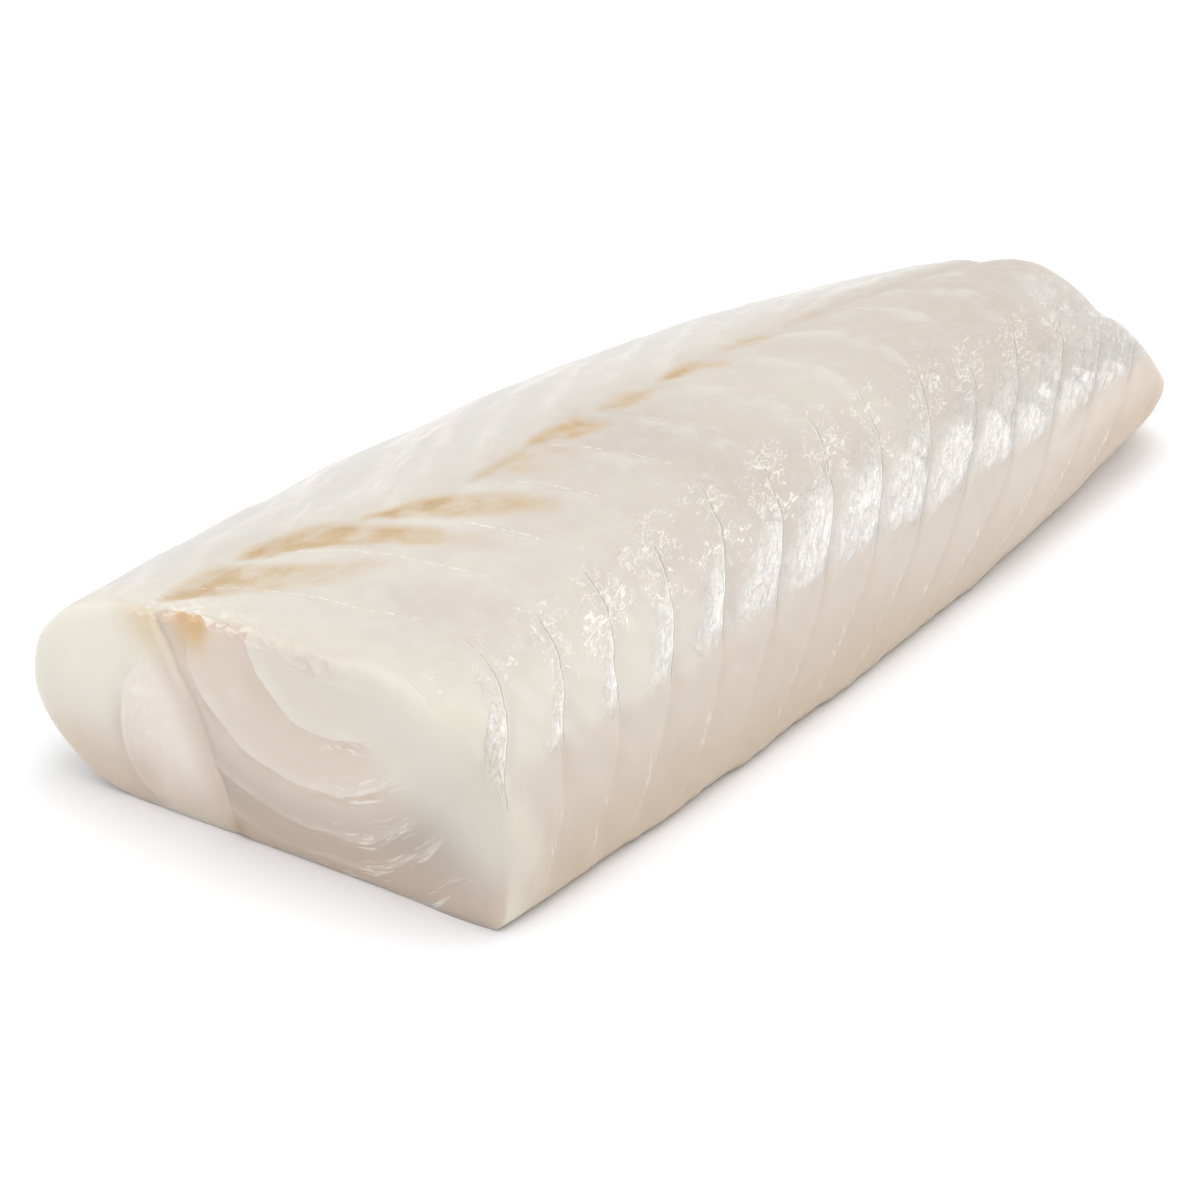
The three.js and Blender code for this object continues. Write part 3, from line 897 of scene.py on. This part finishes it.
def fleshMaterial():
    material = bpy.data.materials.new("rawCodFlesh")
    material.use_nodes = True
    tree = material.node_tree
    shader = tree.nodes["Principled BSDF"]
    at = {name: field(tree, name) for name in fieldNames}
    at["place"] = putNode(tree, "ShaderNodeTexCoord").outputs["Object"]
    at["skin"] = calc(tree, "SUBTRACT", 1.0, calc(tree, "MAXIMUM", at["cut"], at["farEnd"]))
    at["share"] = calc(tree, "FRACT", at["flake"])
    at["fromSeam"] = calc(tree, "SUBTRACT", at["flake"], calc(tree, "ROUND", at["flake"]))
    rise = times(tree, at["angle"], finish["degree"])
    grain = combine(tree, times(tree, at["flake"], finish["grain"]), rise)
    straight = combine(tree, times(tree, at["along"], 1.5), times(tree, rise, 0.28))
    streaky = combine(tree, times(tree, at["along"], 0.16), add(tree, rise, times(tree, at["along"], 0.3)))
    at["cloud2"] = noiseValue(tree, grain, 0.12, 3.0)
    at["cloud3"] = noiseValue(tree, grain, 0.3, 4.0, 0.65)
    at["cloud4"] = noiseValue(tree, at["place"], 150.0, 3.0)
    at["cloud5"] = noiseValue(tree, at["place"], 300.0, 3.0)
    at["mottle"] = noiseValue(tree, at["place"], 260.0, 4.0, 0.6)
    at["streak"] = noiseValue(tree, streaky, 0.55, 4.0, 0.6, 0.5)
    at["strands"] = ramp(tree, noiseValue(tree, straight, 0.8, 3.0, 0.6), 0.5, 0.68)
    at["overFoot"] = aboveFoot(tree, at)

    colour = mixColour(tree, at["cut"], skinColour(tree, at), cutColour(tree, at))

    # thin broken white seams on the top near the cut
    jitter = around(tree, noiseValue(tree, at["place"], 700.0, 3.0), 0.03)
    seamLine = hump(tree, add(tree, at["fromSeam"], jitter), 0.0, 0.019)
    seamZone = times(tree, ramp(tree, at["along"], 130.0, 60.0), ramp(tree, at["angle"], 66.0, 74.0))
    seamZone = times(tree, seamZone, ramp(tree, at["lateral"], -2.0, -6.0), at["skin"])
    broken = ramp(tree, noiseValue(tree, at["place"], 900.0, 3.0), 0.45, 0.56)
    seamLine = times(tree, seamLine, seamZone, broken)
    colour = mixColour(tree, times(tree, seamLine, 0.85), colour, flesh["line"])

    # the band's wrinkles and its curly threads
    band, cord, shadedGroove, threadZone = bandMasks(tree, at)
    tilted = combine(tree, times(tree, at["flake"], finish["grain"]), times(tree, rise, 0.7))
    fine = creases(tree, tilted, finish["wrinkleScale"], 0.06, 1.6)
    fine = times(tree, fine, ramp(tree, at["cloud3"], 0.4, 0.5), 0.8)
    crinkle = calc(tree, "MAXIMUM", fine, creases(tree, tilted, finish["foldScale"], 0.035, 1.8))
    endVeil = times(tree, ramp(tree, at["along"], 180.0, 196.0), ramp(tree, at["angle"], 33.0, 38.0))
    endVeil = times(tree, endVeil, ramp(tree, at["angle"], 84.0, 66.0), at["skin"])
    endVeil = times(tree, endVeil, ramp(tree, at["cloud4"], 0.3, 0.6, 0.4, 1.0))
    band = calc(tree, "MAXIMUM", band, times(tree, endVeil, 0.6))
    # the membrane's whitish veil over the leaves, partly its own silvery white and partly painted sheen
    # where the shoulder mirrors the key
    membraneAndSheen = times(tree, band, ramp(tree, at["along"], 5.0, 45.0, 0.3, 0.65))
    colour = mixColour(tree, membraneAndSheen, colour, flesh["membrane"])
    # painted shade in the wrinkles' creases
    colour = mixColour(tree, times(tree, band, crinkle, 0.6), colour, flesh["creaseShade"])

    curly = times(tree, creases(tree, grain, 0.34, 0.028, 2.2), ramp(tree, at["cloud5"], 0.46, 0.54))
    climbing = combine(
        tree,
        times(tree, add(tree, at["along"], times(tree, rise, 0.5)), 0.3),
        add(tree, rise, times(tree, at["along"], -0.5)),
    )
    threads = calc(tree, "MAXIMUM", curly, creases(tree, climbing, 0.5, 0.03, 1.0))
    patchy = add(tree, noiseValue(tree, at["place"], 380.0, 3.0, 0.65), times(tree, threadZone, 0.2))
    broken = ramp(tree, patchy, 0.6, 0.67)
    speck = times(tree, threads, calc(tree, "POWER", threadZone, 0.5), broken)
    bright = calc(tree, "MAXIMUM", speck, cord)
    # painted shade in the groove beside each cord
    colour = mixColour(tree, times(tree, shadedGroove, 0.5), colour, flesh["creaseShade"])
    colour = mixColour(tree, times(tree, bright, 0.85), colour, flesh["line"])

    # fibres on the cut, lying along its rings, their white partly painted highlight where each flake
    # catches light by its lip
    fibreGrain = combine(tree, times(tree, at["mainRings"], 9.0), times(tree, at["bearing"], 0.09))
    fibreHighlight = ramp(tree, noiseValue(tree, fibreGrain, 1.0, 3.0, 0.6, 0.3), 0.53, 0.64)
    ringShare = calc(tree, "FRACT", at["mainRings"])
    fibreZone = calc(tree, "MAXIMUM", ramp(tree, ringShare, 0.5, 0.85), ramp(tree, ringShare, 0.35, 0.15))
    fibreZone = times(tree, fibreZone, ramp(tree, at["mainRings"], 1.0, 1.1))
    fibreZone = times(tree, fibreZone, hump(tree, at["bearing"], -22.0, 34.0))
    onRight = ramp(tree, at["seamSide"], 0.0, -1.0)
    fibreHighlight = times(tree, fibreHighlight, fibreZone, onRight, at["cut"])
    leaning = add(tree, at["across"], times(tree, at["up"], 0.3))
    lensGrain = combine(tree, leaning, times(tree, at["up"], 0.35))
    lensFibre = ramp(tree, noiseValue(tree, lensGrain, 1.1, 3.0, 0.6, 0.5), 0.52, 0.62)
    lensZone = times(tree, hump(tree, at["across"], 23.0, 6.0), hump(tree, at["up"], 20.0, 12.0), at["cut"])
    fibreHighlight = calc(tree, "MAXIMUM", fibreHighlight, times(tree, lensFibre, lensZone))

    # the membrane's frayed edge along the top of the cut, its white strands partly painted glints
    rimGrain = combine(
        tree,
        times(tree, at["across"], 0.5),
        times(tree, at["along"], 1.2),
        times(tree, at["up"], 1.2),
    )
    rimZone = times(tree, hump(tree, at["fromRim"], -0.6, 1.6), hump(tree, at["across"], 9.0, 22.0))
    rimZone = times(tree, rimZone, ramp(tree, at["along"], 4.5, 1.5), ramp(tree, at["up"], 26.0, 32.0))
    rim = times(tree, ramp(tree, noiseValue(tree, rimGrain, 1.0, 3.0, 0.6, 0.4), 0.48, 0.62), rimZone)
    colour = mixColour(tree, times(tree, fibreHighlight, 0.65), colour, flesh["line"])
    colour = mixColour(tree, times(tree, rim, 0.85), colour, flesh["line"])
    fibreHighlight = calc(tree, "MAXIMUM", fibreHighlight, rim)
    tree.links.new(colour, shader.inputs["Base Color"])

    sheen = times(tree, band, add(tree, 1.0, times(tree, crinkle, -0.6)))
    whiteLines = calc(tree, "MAXIMUM", seamLine, bright)
    wet = calc(tree, "MAXIMUM", calc(tree, "MAXIMUM", sheen, fibreHighlight), whiteLines)
    tree.links.new(ramp(tree, wet, 0.0, 1.0, *finish["roughness"]), shader.inputs["Roughness"])
    tree.links.new(ramp(tree, wet, 0.0, 1.0, *finish["coat"]), shader.inputs["Coat Weight"])

    # heights in mm
    height = times(tree, crinkle, band, -finish["wrinkle"])
    pillow = noiseValue(tree, grain, 0.3, 0.0, 0.4, 1.0)
    height = add(tree, height, times(tree, pillow, band, finish["fold"]))
    height = add(tree, height, times(tree, cord, finish["cord"]), times(tree, shadedGroove, -0.5 * finish["cord"]))
    bump = putNode(tree, "ShaderNodeBump")
    bump.inputs["Distance"].default_value = millimetre
    bump.inputs["Strength"].default_value = 1.0
    tree.links.new(height, bump.inputs["Height"])
    tree.links.new(bump.outputs["Normal"], shader.inputs["Normal"])
    shader.inputs["Subsurface Weight"].default_value = finish["subsurface"]
    shader.inputs["Subsurface Radius"].default_value = finish["subsurfaceRadius"]
    shader.inputs["Subsurface Scale"].default_value = finish["subsurfaceScale"]
    shader.inputs["IOR"].default_value = finish["ior"]
    shader.inputs["Coat Roughness"].default_value = finish["coatRoughness"]
    return material


loin.data.materials.append(fleshMaterial())
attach(loin, "root")
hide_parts("cod_loin")
print("flesh finished")


studio = {
    "floorSize": 4.0,
    "floorColour": rgb(249, 250, 252),
    "floorRoughness": 0.9,
    "floorSpecular": 0.1,
    "worldStrength": 0.935,
    "topAzimuth": 108.0,          # the overhead softbox, a little behind the loin
    "topElevation": 79.0,
    "topDistance": 1.2,
    "topSize": 0.7,
    "topPower": 4.0,
    "keyDirection": (0.687, -0.57, 0.42),     # the softbox that the shoulder mirrors
    "keyDistance": 1.0,
    "keySize": (0.7, 1.1),
    "keyPower": 7.0,
    "fillAzimuth": -25.0,         # the softbox that lightens the shadow by the far end
    "fillElevation": 55.0,
    "fillDistance": 1.0,
    "fillSize": 0.6,
    "fillPower": 0.95,
}


def makeFloor():
    clearSelection()
    bpy.ops.mesh.primitive_plane_add(size=studio["floorSize"], location=(0, 0, 0))
    floor = bpy.context.object
    floor.name = "paleFloor"
    material = bpy.data.materials.new("paleFloor")
    material.use_nodes = True
    shader = material.node_tree.nodes["Principled BSDF"]
    shader.inputs["Base Color"].default_value = studio["floorColour"]
    shader.inputs["Roughness"].default_value = studio["floorRoughness"]
    shader.inputs["Specular IOR Level"].default_value = studio["floorSpecular"]
    floor.data.materials.append(material)


def addSoftbox(name, direction, distance, size, power):
    clearSelection()
    bpy.ops.object.light_add(
        type="AREA",
        location=direction * distance,
        rotation=(-direction).to_track_quat("-Z", "Y").to_euler(),
    )
    softbox = bpy.context.object
    softbox.name = name
    softbox.data.shape = "RECTANGLE"
    softbox.data.size = size[0]
    softbox.data.size_y = size[1]
    softbox.data.energy = power
    return softbox


def makeLights():
    world = bpy.data.worlds.new("studioWorld")
    world.use_nodes = True
    world.node_tree.nodes["Background"].inputs["Color"].default_value = (1.0, 1.0, 1.0, 1.0)
    world.node_tree.nodes["Background"].inputs["Strength"].default_value = studio["worldStrength"]
    bpy.context.scene.world = world
    above = towards(studio["topAzimuth"], studio["topElevation"])
    topSize = (studio["topSize"], studio["topSize"])
    addSoftbox("topSoftbox", above, studio["topDistance"], topSize, studio["topPower"])
    mirrored = Vector(studio["keyDirection"]).normalized()
    key = addSoftbox("keySoftbox", mirrored, studio["keyDistance"], studio["keySize"], studio["keyPower"])
    key.visible_diffuse = False
    beyond = towards(studio["fillAzimuth"], studio["fillElevation"])
    fillSize = (studio["fillSize"], studio["fillSize"])
    fill = addSoftbox("fillSoftbox", beyond, studio["fillDistance"], fillSize, studio["fillPower"])
    fill.visible_glossy = False


makeFloor()
makeLights()
bpy.context.scene.view_settings.view_transform = "Standard"
print("studio ready")
